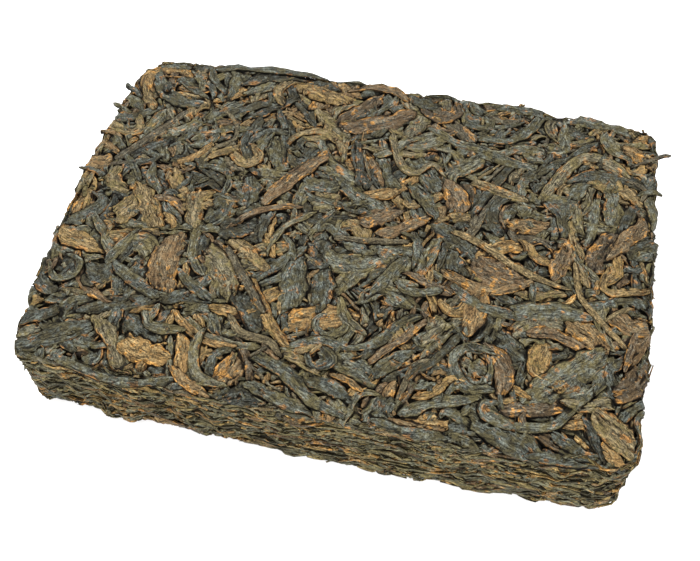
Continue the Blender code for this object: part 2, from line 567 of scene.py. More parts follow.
def leaves_piece(name, leaves, finish):
    """One piece of many leaves. Each entry gives a bed, a kind, its laid measures and its tone."""
    form = bmesh.new()
    coords, uvs = [], []
    layers = {"tone": [], "depth": [], "cavity": [], "fold": [], "edge": []}
    blanks = {}
    for bed, kind, laid, tone in leaves:
        key = (kind.rings, kind.sides)
        if key not in blanks:
            blanks[key] = leaf_blank(*key)
        blank, ring, side = blanks[key]
        form.from_mesh(blank)
        x, y, h, seen, across, along, fold, edge = laid[ring, side].T
        coords.append(bed.place(x, y, h))
        uvs.append(np.stack((across, along), -1) + random.uniform(0, 500, 2))
        layers["tone"].append(np.full(len(x), tone))
        # depth and cavity: how far each point lies below the plate and below the leaves round it, from which the
        # finishes paint shade.
        layers["depth"].append(bed.read(bed.plate, x, y) - seen)
        layers["cavity"].append(bed.read(bed.around, x, y) - seen)
        layers["fold"].append(fold)
        layers["edge"].append(edge)
    mesh = bpy.data.meshes.new(name)
    form.to_mesh(mesh)
    form.free()
    for blank, _, _ in blanks.values():
        bpy.data.meshes.remove(blank)
    coords = np.concatenate(coords) * METRE
    mesh.vertices.foreach_set("co", coords.ravel())
    loops = np.empty(len(mesh.loops), int)
    mesh.loops.foreach_get("vertex_index", loops)
    grain = mesh.uv_layers.new(name="lie")
    grain.data.foreach_set("uv", (np.concatenate(uvs)[loops] * METRE * 10).ravel())
    for label, values in layers.items():
        layer = mesh.attributes.new(label, "FLOAT", "POINT")
        layer.data.foreach_set("value", np.concatenate(values).astype(np.float32))
    mesh.polygons.foreach_set("use_smooth", np.ones(len(mesh.polygons), bool))
    mesh.materials.append(finish)
    mesh.update()
    return finished_piece(name, mesh)


def finished_piece(name, mesh):
    piece = bpy.data.objects.new(name, mesh)
    bpy.context.scene.collection.objects.link(piece)
    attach(piece, BODY)
    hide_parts(CAD_NODE)
    return piece


# ---------------------------------------------------------------- shader wiring

class Wire:
    """One output of a shader node. Python's operators on it add Math nodes."""

    def __init__(self, finish, socket):
        self.finish = finish
        self.socket = socket

    def maths(self, operation, *values, clamp=False):
        settings = {"operation": operation, "use_clamp": clamp}
        return self.finish.node("ShaderNodeMath", settings, dict(enumerate(values)))

    def __add__(self, other):
        return self.maths("ADD", self, other)

    __radd__ = __add__

    def __sub__(self, other):
        return self.maths("SUBTRACT", self, other)

    def __rsub__(self, other):
        return self.maths("SUBTRACT", other, self)

    def __mul__(self, other):
        return self.maths("MULTIPLY", self, other)

    __rmul__ = __mul__

    def __truediv__(self, other):
        return self.maths("DIVIDE", self, other)

    def __pow__(self, other):
        return self.maths("POWER", self, other)

    def __abs__(self):
        return self.maths("ABSOLUTE", self)

    def clamped(self):
        return self.maths("ADD", self, 0.0, clamp=True)

    def rise(self, start, end):
        """0 below start, 1 above end and smooth between them."""
        return self.finish.node(
            "ShaderNodeMapRange",
            {"interpolation_type": "SMOOTHSTEP"},
            {"Value": self, "From Min": start, "From Max": end},
        )


class Finish:
    """A material whose shader is wired from Python expressions."""

    def __init__(self, name):
        self.material = bpy.data.materials.new(name)
        self.material.use_nodes = True
        self.tree = self.material.node_tree
        self.tree.nodes.clear()

    def node(self, kind, settings=None, values=None, output=0):
        """Adds a node: its settings first, then the values or wires of its sockets."""
        node = self.tree.nodes.new(kind)
        for name, value in (settings or {}).items():
            if name == "stops":
                set_stops(node.color_ramp, value)
            else:
                setattr(node, name, value)
        for key, value in (values or {}).items():
            if isinstance(value, Wire):
                self.tree.links.new(value.socket, node.inputs[key])
            else:
                node.inputs[key].default_value = value
        return Wire(self, node.outputs[output])

    def ramp(self, factor, stops):
        return self.node("ShaderNodeValToRGB", {"stops": stops}, {"Fac": factor})

    def mix(self, factor, first, second, blend="MIX"):
        """Colours mixed: 0 gives the first, 1 the second."""
        values = {0: factor, 6: first, 7: second}
        return self.node("ShaderNodeMix", {"data_type": "RGBA", "blend_type": blend}, values, output=2)

    def attribute(self, name):
        return self.node("ShaderNodeAttribute", {"attribute_name": name}, output=2)

    def noise(self, vector, scale, detail=3.0, roughness=0.55, distortion=0.0):
        values = {"Vector": vector, "Scale": scale, "Detail": detail}
        values.update({"Roughness": roughness, "Distortion": distortion})
        return self.node("ShaderNodeTexNoise", None, values)

    def stretched(self, vector, across, along, up=1.0):
        """Coordinates scaled differently in each direction."""
        return self.node("ShaderNodeVectorMath", {"operation": "MULTIPLY"}, {0: vector, 1: (across, along, up)})

    def surface(self, colour, roughness, normal, sheen=0.0, specular=0.5, coat=0.0):
        shader = self.tree.nodes.new("ShaderNodeBsdfPrincipled")
        output = self.tree.nodes.new("ShaderNodeOutputMaterial")
        shader.inputs["Specular IOR Level"].default_value = specular
        shader.inputs["Sheen Weight"].default_value = sheen
        for key, value in (("Base Color", colour), ("Roughness", roughness), ("Normal", normal)):
            if isinstance(value, Wire):
                self.tree.links.new(value.socket, shader.inputs[key])
            elif value is not None:
                shader.inputs[key].default_value = value
        self.tree.links.new(shader.outputs[0], output.inputs[0])
        return self.material


def set_stops(ramp, stops):
    while len(ramp.elements) > 1:
        ramp.elements.remove(ramp.elements[0])
    ramp.elements[0].position, ramp.elements[0].color = stops[0][0], (*stops[0][1], 1.0)
    for position, colour in stops[1:]:
        ramp.elements.new(position).color = (*colour, 1.0)


def tint(red, green, blue, strength=1.0):
    """A colour named by its screen values, 0 to 255, as the shader's linear red, green and blue."""
    linear = [(value / 255 / 12.92) if value < 10 else ((value / 255 + 0.055) / 1.055) ** 2.4 for value in (red, green, blue)]
    return tuple(value * strength for value in linear)


# ---------------------------------------------------------------- finishes

# The studio light is strong, so every tea colour is this much darker than it looks when lit.
LIT = 0.53
# How much the dry bloom greys every colour.
DUSTY = 0.2


def tea_finish(name, crest_sheen_stops, flank_stops, rust, rust_share, wrinkle=1.0, gloss=0.12, shade=0.85, hollow_shade=0.92, crack_shade=0.95, crack_shade_from=0.84):
    """Dry fermented leaf: greyer, lighter crests that are partly its dry bloom and partly a painted sheen, its own
    brown in the folds and on the flanks, painted shade in folds, creases, hollows, cracks and deep places, wrinkles and
    rusty flecks.
    """
    finish = Finish(name)
    place = finish.node("ShaderNodeTexCoord", output=3)
    lie = finish.node("ShaderNodeUVMap", {"uv_map": "lie"})
    tone = finish.attribute("tone")
    depth = finish.attribute("depth")
    cavity = finish.attribute("cavity")
    fold = finish.attribute("fold")
    edge = finish.attribute("edge")

    cloud = finish.noise(place, 330.0, 2.0)
    blotch = finish.noise(place, 850.0, 3.0, 0.6)
    mottle = finish.noise(place, 2100.0, 3.0, 0.65, 0.5)
    grain = finish.noise(place, 4600.0, 2.0, 0.7)
    fibre = finish.noise(finish.stretched(lie, 150.0, 20.0), 1.7, 3.0, 0.66, 0.6)
    crease = finish.noise(finish.stretched(lie, 62.0, 13.0), 1.1, 3.0, 0.6, 1.2)
    wrinkles = finish.noise(finish.stretched(lie, 135.0, 26.0), 1.0, 2.0, 0.5, 1.6)
    streak = finish.noise(finish.stretched(lie, 90.0, 26.0), 1.0, 3.0, 0.65, 0.8)

    # Crease and wrinkle lines: dented in the bump, and painted dark in the colour as the shade inside them.
    line = (1.0 - abs(crease - 0.5).rise(0.0, 0.045)) * blotch.rise(0.38, 0.52)
    shaded_wrinkle_line = (1.0 - abs(wrinkles - 0.5).rise(0.0, 0.06)) * cloud.rise(0.36, 0.56)
    patchy = (cloud * 0.5 + blotch * 0.3 + mottle * 0.2).rise(0.42, 0.58)
    # Painted sheen: crests away from the edges and hollows take the greyer, lighter crest colours, partly the leaf's
    # dry bloom and partly the sheen of the light above.
    bloom_and_sheen = (1.0 - edge.rise(0.55, 1.0)) * (1.0 - cavity.rise(0.1, 0.4)) * patchy
    shade_of = (tone + (cloud - 0.5) * 0.9 + (blotch - 0.5) * 0.6 + (mottle - 0.5) * 0.6).clamped()
    colour = finish.mix(bloom_and_sheen, finish.ramp(shade_of, flank_stops), finish.ramp(shade_of, crest_sheen_stops))
    # Rusty flecks are the leaf's own colour; the small extra share on the rounded shoulder just inside a raised edge is
    # partly a painted edge highlight.
    rusty = streak * 0.2 + blotch * 0.3 + cloud * 0.5 + (edge.rise(0.6, 0.85) - edge.rise(0.9, 0.97)) * 0.05
    rusty = rusty.rise(0.63 - 0.2 * rust_share, 0.70 - 0.2 * rust_share)
    colour = finish.mix(rusty * 0.75, colour, (*tint(*rust, LIT), 1.0))
    # Brightness: mottle, fibre and grain are random tone, and fold height adds a painted highlight on the fold crests
    # and painted shade in their creases.
    value = 1.40 + (mottle - 0.5) * 2.5 + (fibre - 0.5) * 4.2 + (grain - 0.5) * 2.8 + fold * 1.5
    # Painted shade: darker along the crease and wrinkle lines and where the leaf lies deep below the plate.
    value = value * (1.0 - line * 0.7) * (1.0 - shaded_wrinkle_line * 0.6) * (1.0 - depth.rise(0.55, 1.6) * shade)
    # Painted shade: darker in hollows below the leaves round them, and in a thin crack along each raised leaf edge,
    # which is rougher too.
    shaded_crack = edge.rise(crack_shade_from, 0.96)
    value = value * (1.0 - cavity.rise(0.1, 0.42) * hollow_shade) * (1.0 - shaded_crack * crack_shade)
    # Painted shade in the deeper fold creases.
    value = value * (1.0 - (fold * -1.0).rise(0.1, 0.24) * 0.45)
    light = finish.node("ShaderNodeCombineColor", None, {0: value, 1: value, 2: value})
    colour = finish.mix(1.0, colour, light, "MULTIPLY")

    height = mottle * 0.8 + fibre * 0.8 + grain * 0.2 - line * 0.5 - shaded_wrinkle_line * 0.5
    values = {"Strength": 0.9 * wrinkle, "Distance": 0.0004, "Height": height}
    normal = finish.node("ShaderNodeBump", None, values)
    roughness = (0.40 + mottle * 0.3 + shaded_crack * 0.4).clamped()
    return finish.surface(colour, roughness, normal, specular=gloss)


def core_finish():
    finish = Finish("packed tea dust")
    place = finish.node("ShaderNodeTexCoord", output=3)
    height = finish.node("ShaderNodeSeparateXYZ", None, {0: place}, output=2)
    layers = finish.noise(finish.stretched(place, 1.0, 1.0, 4.0), 620.0, 4.0, 0.65, 0.4)
    grain = finish.noise(place, 2600.0, 2.0)
    stops = ((0.34, (16, 14, 10)), (0.46, (46, 42, 31)), (0.56, (80, 73, 51)), (0.7, (124, 98, 56)))
    colour = finish.ramp(layers * 0.75 + grain * 0.25, lit(*stops))
    # Under the upper face its top lies deep in the dark between the leaves, so it is painted darker there: painted
    # shade.
    deep = 1.0 - height.rise(0.0205, 0.0218) * 0.7
    colour = finish.mix(1.0, colour, finish.node("ShaderNodeCombineColor", None, {0: deep, 1: deep, 2: deep}), "MULTIPLY")
    normal = finish.node("ShaderNodeBump", None, {"Strength": 0.8, "Distance": 0.0004, "Height": layers})
    return finish.surface(colour, 0.8, normal, specular=0.12)


def lit(*stops):
    """Colour stops under the studio light, each drawn part of the way to its own grey."""
    ready = []
    for position, colour in stops:
        grey = sum(colour) / 3
        ready.append((position, tint(*(value + (grey - value) * DUSTY for value in colour), LIT)))
    return tuple(ready)


DARK_LEAF = tea_finish(
    "dark rolled leaf",
    lit((0.0, (76, 81, 74)), (0.35, (100, 108, 101)), (0.65, (117, 123, 110)), (0.85, (130, 120, 90)), (1.0, (152, 128, 82))),
    lit((0.0, (62, 56, 35)), (0.35, (90, 82, 48)), (0.65, (114, 100, 56)), (0.85, (142, 110, 54)), (1.0, (168, 120, 50))),
    rust=(168, 118, 62),
    rust_share=0.38,
)
BROWN_LEAF = tea_finish(
    "brown leaf",
    lit((0.0, (90, 86, 72)), (0.25, (112, 106, 88)), (0.5, (128, 114, 86)), (0.75, (146, 124, 82)), (1.0, (178, 150, 96))),
    lit((0.0, (86, 67, 40)), (0.2, (114, 86, 52)), (0.5, (126, 96, 54)), (0.75, (148, 110, 54)), (1.0, (178, 136, 66))),
    rust=(198, 142, 68),
    rust_share=0.5,
)
STEM = tea_finish(
    "ribbed stem",
    lit((0.0, (88, 83, 70)), (0.4, (116, 110, 90)), (0.7, (134, 118, 82)), (1.0, (178, 150, 98))),
    lit((0.0, (76, 65, 46)), (0.4, (104, 92, 62)), (0.7, (128, 106, 62)), (1.0, (170, 136, 80))),
    rust=(190, 138, 74),
    rust_share=0.35,
    wrinkle=1.1,
)
SIDE_LAYER = tea_finish(
    "layered side",
    lit((0.0, (90, 91, 71)), (0.35, (119, 120, 98)), (0.6, (131, 129, 96)), (0.82, (148, 131, 83)), (1.0, (178, 143, 78))),
    lit((0.0, (76, 68, 43)), (0.35, (107, 97, 58)), (0.6, (129, 113, 62)), (0.82, (150, 119, 56)), (1.0, (182, 133, 58))),
    rust=(182, 132, 62),
    rust_share=0.4,
    wrinkle=1.0,
    shade=0.2,
    hollow_shade=0.5,
    crack_shade=0.92,
    crack_shade_from=0.62,
)
CORE = core_finish()

# ---------------------------------------------------------------- kinds of leaf

# rings, sides on top, thickness, edge drop, flatness, folds, fold height, share of tapered ends, fullness
# at the cut ends, raggedness, crumpling, twist and how steeply it can bend
BROAD = Kind(26, 15, 0.50, 0.35, (7, 14), 5, 0.50, 0.2, (0.5, 0.9), 0.10, 0.10, 0.15, 1.6)
ROLLED = Kind(24, 11, 0.60, 0.45, (5, 13), 3, 0.46, 0.4, (0.45, 0.95), 0.08, 0.08, 0.15, 1.6)
MIDDLING = Kind(14, 9, 0.55, 0.42, (5, 12), 2, 0.42, 0.4, (0.45, 0.95), 0.10, 0.08, 0.15, 1.8)
SMALL = Kind(9, 7, 0.50, 0.38, (4, 10), 1, 0.32, 0.4, (0.4, 0.9), 0.12, 0.08, 0.15, 2.0)
CRUMB = Kind(5, 4, 0.5, 0.4, (3, 6), 0, 0.0, 0.3, (0.4, 0.9), 0.2, 0.1, 0.15, 2.0)
STALK = Kind(22, 7, 0.95, 0.75, (2.2, 3.2), 1, 0.15, 0.1, (0.6, 0.95), 0.05, 0.04, 0.05, 0.5)
LAYER = Kind(10, 4, 0.36, 0.24, (3, 8), 0, 0.0, 0.3, (0.4, 0.95), 0.16, 0.08, 0.10, 1.6)
SHRED = Kind(5, 4, 0.36, 0.24, (3, 8), 0, 0.0, 0.3, (0.4, 0.95), 0.18, 0.08, 0.10, 1.6)
UNDER_BROAD = Kind(12, 7, 0.6, 0.4, (5, 10), 3, 0.34, 0.2, (0.5, 0.9), 0.12, 0.1, 0.15, 1.5)
UNDER_LEAF = Kind(10, 5, 0.6, 0.45, (3, 8), 1, 0.25, 0.4, (0.4, 0.9), 0.12, 0.1, 0.15, 1.5)

# The leaves that lie uppermost and show whole: kind, tone, width, and the places they run through in mm.
# D is a dark leaf, B a brown one and S a stem.
UPPERMOST = (
    ("S", 0.80, 1.7, ((53, 2), (55, -7), (59, -12), (66, -19))),
    ("S", 0.75, 2.2, ((24, 5), (30, 3), (39, -2), (47, -5), (53, -6))),
    ("S", 0.35, 1.9, ((-29, -11), (-22, -19), (-15, -27))),
    ("S", 0.25, 2.1, ((-65, 10), (-58, 20), (-52, 30))),
    ("D", 0.72, 3.8, ((43, 19), (46, 25), (49, 31), (53, 35), (59, 34), (64, 30))),
    ("B", 0.35, 3.4, ((-24, 4), (-18, 14), (-12, 23))),
    ("B", 0.30, 7.5, ((30, -2), (35, -5), (42, -5))),
    ("B", 0.55, 3.0, ((23, -7), (31, -10), (38, -9), (45, -5))),
    ("D", 0.40, 3.0, ((26, -11), (33, -15), (41, -16))),
    ("D", 0.45, 4.6, ((40, -16), (48, -13), (58, -13))),
    ("B", 0.95, 1.7, ((47, -12), (52, -10), (54, -7))),
    ("S", 0.70, 1.3, ((61, -13), (64, -10), (67, -8))),
    ("B", 0.20, 2.2, ((68, -15), (67, -20), (66, -25))),
    ("S", 0.40, 2.0, ((-4, -3), (4, -2), (14, 0))),
    ("D", 0.30, 1.7, ((11, 2), (15, 1), (16, -3), (16, -8))),
    ("D", 0.42, 3.2, ((14, -5), (11, -11), (7, -19))),
    ("D", 0.48, 2.4, ((12, -11), (15, -14), (19, -14), (24, -12))),
    ("D", 0.35, 5.6, ((-12, -11), (-11, -18), (-9, -24))),
    ("D", 0.66, 2.6, ((1, -19), (3, -24), (9, -28))),
    ("D", 0.40, 2.4, ((-7, -34), (0, -31), (6, -32), (12, -29), (16, -23), (20, -20))),
    ("D", 0.50, 2.4, ((2, -23), (4, -27), (0, -30), (-3, -27), (-1, -24))),
    ("D", 0.35, 2.2, ((0, -33), (3, -36), (-1, -38), (-3, -35))),
    ("D", 0.45, 3.6, ((-14, -38), (-6, -41), (1, -46), (9, -49))),
    ("D", 0.30, 3.4, ((0, -41), (4, -42), (8, -44))),
    ("B", 0.60, 1.8, ((3, -39), (8, -40), (11, -42))),
    ("S", 0.45, 1.4, ((25, -31), (21, -33), (20, -37), (19, -43))),
    ("D", 0.50, 3.0, ((20, -45), (28, -41), (36, -38))),
    ("D", 0.45, 2.0, ((38, -26), (32, -26), (29, -30), (33, -36), (39, -35))),
    ("D", 0.60, 4.4, ((33, -30), (36, -32))),
    ("B", 0.25, 3.8, ((35, -24), (40, -29), (41, -36))),
    ("B", 0.90, 1.8, ((40, -34), (43, -34), (47, -36))),
    ("D", 0.50, 2.2, ((60, -31), (56, -36), (52, -41), (44, -43), (38, -42), (37, -39), (40, -38))),
    ("D", 0.55, 6.4, ((45, -37), (54, -29), (62, -21))),
    ("B", 0.35, 3.6, ((44, -20), (50, -19), (57, -21))),
    ("D", 0.80, 6.0, ((60, -36), (65, -40), (69, -43))),
    ("B", 0.80, 4.6, ((63, -44), (67, -46))),
    ("D", 0.35, 7.0, ((35, -42), (44, -46), (52, -51))),
    ("B", 0.55, 2.6, ((18, -47), (24, -48), (30, -47))),
    ("D", 0.30, 3.0, ((52, -43), (58, -45), (63, -47))),
    ("B", 0.98, 1.4, ((57, -42), (60, -44))),
    ("D", 0.45, 2.2, ((29, -39), (31, -36), (36, -38), (41, -41))),
    ("D", 0.28, 6.2, ((-53, -38.5), (-61, -43.5), (-68.3, -48))),
    ("B", 0.75, 2.8, ((-32, -36), (-30, -41), (-29, -47))),
    ("D", 0.65, 2.8, ((-28, -35), (-28, -41), (-25, -46), (-18, -47))),
    ("B", 0.82, 5.0, ((-45, -40), (-39, -42), (-32, -43))),
    ("D", 0.75, 4.0, ((-51, -36), (-47, -41), (-43, -47))),
    ("B", 0.45, 6.0, ((-42, -10), (-42, -18), (-40, -26))),
    ("S", 0.55, 1.8, ((-23, -29), (-19, -33), (-12, -34), (-9, -37))),
    ("D", 0.35, 2.8, ((-54, -21), (-47, -25), (-40, -28))),
    ("D", 0.45, 3.0, ((-56, -21), (-54, -16), (-51, -10))),
    ("D", 0.60, 2.4, ((-42, -32), (-39, -36), (-31, -35))),
    ("D", 0.30, 2.6, ((-39, -19), (-34, -23), (-28, -26))),
    ("D", 0.50, 2.4, ((-66, -21), (-62, -22), (-62, -26), (-66, -28), (-69, -24))),
    ("D", 0.30, 3.8, ((-65, 42), (-61, 36), (-56, 33), (-49, 33))),
    ("D", 0.85, 2.4, ((-67, 37), (-64, 32), (-61, 29))),
    ("D", 0.25, 2.2, ((-51, 47), (-48, 42), (-44, 38))),
    ("S", 0.45, 1.5, ((-46, 34), (-42, 32), (-38, 28), (-37, 23), (-41, 19))),
    ("D", 0.85, 2.6, ((-36, 18), (-32, 15), (-29, 18), (-31, 21))),
    ("B", 0.40, 2.0, ((-1, 23), (2, 19), (4, 15))),
    ("B", 0.75, 1.8, ((-49, 12), (-45, 15), (-42, 20))),
    ("D", 0.45, 2.4, ((-55, 11), (-54, 6), (-50, 2))),
    ("B", 0.30, 2.2, ((-51, 0), (-46, 0), (-43, -2))),
    ("B", 0.20, 4.6, ((-10, 32), (-2, 35), (8, 41))),
    ("D", 0.75, 2.6, ((3, 33), (6, 25), (11, 21), (15, 25), (19, 21))),
    ("B", 0.25, 5.0, ((19, 20), (22, 16), (24, 11))),
    ("D", 0.50, 2.8, ((12, 37), (20, 33), (28, 32))),
    ("D", 0.42, 2.6, ((29, 31), (35, 29), (41, 29))),
    ("D", 0.38, 3.0, ((40, 47), (38, 42), (33, 37), (25, 36))),
    ("S", 0.40, 1.5, ((57, 33), (63, 30), (68, 27), (67, 23))),
    ("D", 0.80, 2.8, ((26, 21), (33, 19), (40, 18))),
    ("D", 0.28, 2.4, ((44, 19), (48, 15), (50, 9))),
    ("S", 0.30, 1.2, ((67, 37), (70, 37), (74, 36))),
    ("B", 0.65, 3.4, ((64, 43), (68, 45))),
)
# Leaves too stiff to bend over the rim, which stand out past it.
STIFF = (
    ("S", 0.15, 1.0, ((64, 34.0), (69, 37.4), (73.6, 40.4))),
    ("D", 0.25, 2.2, ((-49, 46.0), (-42, 48.3), (-32, 49.1), (-24, 49.2), (-17, 48.5))),
    ("B", 0.35, 2.6, ((-12, 45.5), (-6, 48.0), (1, 47.9), (5, 45.5))),
    ("D", 0.35, 2.6, ((28, 47.2), (36, 47.9), (45, 47.4))),
    ("D", 0.45, 3.2, ((47, 46.9), (55, 46.6), (63, 45.4))),
    ("D", 0.45, 3.4, ((-58, -48.2), (-48, -49.4), (-36, -49.4), (-30, -48.0))),
    ("B", 0.60, 2.6, ((-31, -44.5), (-27, -48), (-21, -50.0))),
    ("D", 0.45, 3.4, ((-14, -45.0), (-6, -47.8), (2, -49.4))),
    ("D", 0.40, 3.0, ((14, -47.8), (22, -49.2), (31, -48.8))),
    ("D", 0.35, 2.8, ((47, -49.2), (55, -48.2), (62, -46.0))),
    ("D", 0.30, 1.5, ((-66, 4), (-69, 5), (-72.4, 5.4))),
    ("D", 0.55, 1.3, ((-67, 26), (-70, 27.4), (-72.6, 28.0))),
    ("D", 0.20, 1.6, ((-66, 32), (-69, 34.5), (-71.6, 35.6))),
    ("B", 0.50, 1.2, ((-66, 17), (-69, 18.2), (-72.2, 18.0))),
    ("D", 0.40, 1.4, ((-66, -12), (-69, -11), (-71.4, -9.6))),
    ("D", 0.40, 1.2, ((66, 25), (69, 26.5), (72.0, 26.8))),
    ("B", 0.60, 1.2, ((29, 45), (33, 47.5), (35, 50.2))),
)
KIND_OF_LETTER = {"D": ROLLED, "B": ROLLED, "S": STALK}
BROAD_FROM = 4.2
# The named leaves are whole ones, so they are fuller than their ragged edges would leave them.
WHOLE = 1.12

# Crumbly patches of the upper face: x, y, length, width, heading, letter, tone, number of crumbs.
CRUMBLY = (
    (-38, -42, 7, 3.0, 0.2, "B", 1.0, 8),
    (-47, 12, 7, 4.0, 0.6, "B", 0.6, 7),
    (-11, -44, 6, 3.0, 0.0, "B", 0.65, 6),
    (50, 8, 6, 4.0, 0.4, "D", 0.5, 6),
    (12, -24, 7, 4.0, 0.8, "B", 0.6, 6),
    (-66, 0, 6, 4.0, 1.2, "D", 0.6, 5),
    (25, -36, 7, 4.5, 0.4, "B", 0.7, 7),
)

# How the rest of a pressed face fills up: share of dark and brown leaves, sizes in mm, and the part
# of the face that may still be bare when the next stage starts.
STAGES = (
    # kind, letter shares D B S, width, length, straightness, tries, least share of a leaf that has to
    # show, bare share to stop at
    (BROAD, (0.8, 0.2, 0.0), (4.0, 6.5), (8, 16), 0.5, 4, 0.5, 0.58),
    (ROLLED, (0.84, 0.11, 0.05), (2.2, 4.0), (10, 22), 0.3, 6, 0.38, 0.24),
    (STALK, (0.2, 0.1, 0.7), (1.0, 1.8), (10, 20), 0.7, 6, 0.35, 0.22),
    (MIDDLING, (0.80, 0.17, 0.03), (1.6, 3.4), (7, 15), 0.35, 8, 0.22, 0.07),
    (SMALL, (0.76, 0.22, 0.02), (1.0, 2.2), (5, 10), 0.5, 8, 0.15, 0.02),
)


def trimmed(path, reach):
    """The path without what would hang further than reach down the sides of the brick."""
    kept = past_outline(path[:, 0], path[:, 1])[0] < reach
    return path[kept] if kept.sum() > 4 else path


def lay_crumbs(bed, patches):
    """Crumbly patches: x, y, length, width, heading, letter, tone and number of crumbs."""
    crumbs = {"D": [], "B": []}
    for x, y, length, width, heading, letter, tone, number in patches:
        for _ in range(number):
            along, across = random.normal(0, 0.35, 2) * (length, width)
            at_x = x + along * math.cos(heading) - across * math.sin(heading)
            at_y = y + along * math.sin(heading) + across * math.cos(heading)
            size = random.uniform(0.7, 1.8)
            long = size * random.uniform(1.1, 2.4)
            path = random_path(long, size, 6, at_x, at_y, random.uniform(0, 2 * math.pi), 0.9)
            measures = lay(bed, CRUMB, path, size, random.uniform(0.0, 0.4), random.normal(0, 0.25))
            crumbs[letter].append((bed, CRUMB, measures, np.clip(tone + random.normal(0, 0.18), 0, 1)))
    return crumbs


def sort_of(letter, kind):
    """Which piece a leaf belongs to."""
    if letter == "D" and kind.rings < ROLLED.rings:
        return "small D"
    if letter == "D" and kind is BROAD:
        return "broad D"
    return letter


def lay_face(bed, named, patches, stages, levels=(0.0, 0.35)):
    """Lays a whole pressed face, from the leaves at the plate down to what shows in the gaps."""
    laid = {"D": [], "B": [], "S": [], "small D": [], "broad D": []}
    for leaf_bed, letter, tone, width, points in named:
        kind = BROAD if width > BROAD_FROM else KIND_OF_LETTER[letter]
        path = smooth_path(points, kind.rings)
        measures = lay(leaf_bed, kind, path, width * WHOLE, 0.0, random.normal(0, 0.15))
        laid[sort_of(letter, kind)].append((leaf_bed, kind, measures, tone))
    crumbs = lay_crumbs(bed, patches)
    laid["small D"] += crumbs["D"]
    laid["B"] += crumbs["B"]
    for kind, shares, widths, lengths, straightness, tries, least, stop_at in stages:
        for _ in range(1400):
            if bed.bare_share() < stop_at:
                break
            width = random.uniform(*widths)
            length = random.uniform(*lengths)
            path = best_path(bed, length, width, straightness, tries, least=least)
            if path is None:
                continue
            path = trimmed(path, random.uniform(0.8, 3.0))
            letter = "DBS"[random.choice(3, p=shares)]
            lift = random.uniform(0.3, 0.9) if random.uniform() < 0.1 else 0.0
            measures = lay(bed, kind, path, width, random.uniform(*levels), random.normal(0, 0.22), lift)
            tone = random.beta(1.2, 1.3) if letter == "D" else random.beta(1.8, 2.4)
            laid[sort_of(letter, kind)].append((bed, kind, measures, tone))
    bed.settle()
    return laid


# ---------------------------------------------------------------- upper face

def upper_plate(x, y):
    """The height that the press leaves, measured from the face: nearly flat, and lower where leaves broke away."""
    near_rim = np.clip((past_outline(x, y)[0] + 5) / 5, 0, 1)
    height = -0.25 + 0.2 * waves(x, y, 38, 3) + 0.1 * waves(x, y, 9, 4) + near_rim * (0.6 * waves(x, y, 7, 12) + 0.1)
    for spot_x, spot_y, radius, depth in BROKEN_PLACES:
        away = np.hypot(x - spot_x, y - spot_y) / radius
        height -= depth * np.clip(1 - away**2, 0, 1)
    return np.minimum(height, 0.35)


def face_inside(x, y):
    """Where a face has to be covered: out past the shoulder and a little way down the sides."""
    return past_outline(x, y)[0] + SHOULDER < SHOULDER * math.pi / 2 + 1.2


def make_upper_face():
    reach_x, reach_y = LENGTH / 2 + 6, WIDTH / 2 + 6
    bed = Bed((-reach_x, reach_x), (-reach_y, reach_y), upper_plate, upper_place, face_inside)
    stiff_bed = bed.with_place(stiff_place)
    named = [(stiff_bed, *leaf) for leaf in STIFF] + [(bed, *leaf) for leaf in UPPERMOST]
    laid = lay_face(bed, named, CRUMBLY, STAGES)
    leaves_piece("upper_broad_leaves", laid["broad D"], DARK_LEAF)
    leaves_piece("upper_dark_leaves", laid["D"], DARK_LEAF)
    leaves_piece("upper_dark_bits", laid["small D"], DARK_LEAF)
    leaves_piece("upper_brown_leaves", laid["B"], BROWN_LEAF)
    leaves_piece("upper_stems", laid["S"], STEM)
    print("upper face:", {k: len(v) for k, v in laid.items()}, "bare", round(bed.bare_share(), 4))
    return bed


# ---------------------------------------------------------------- core

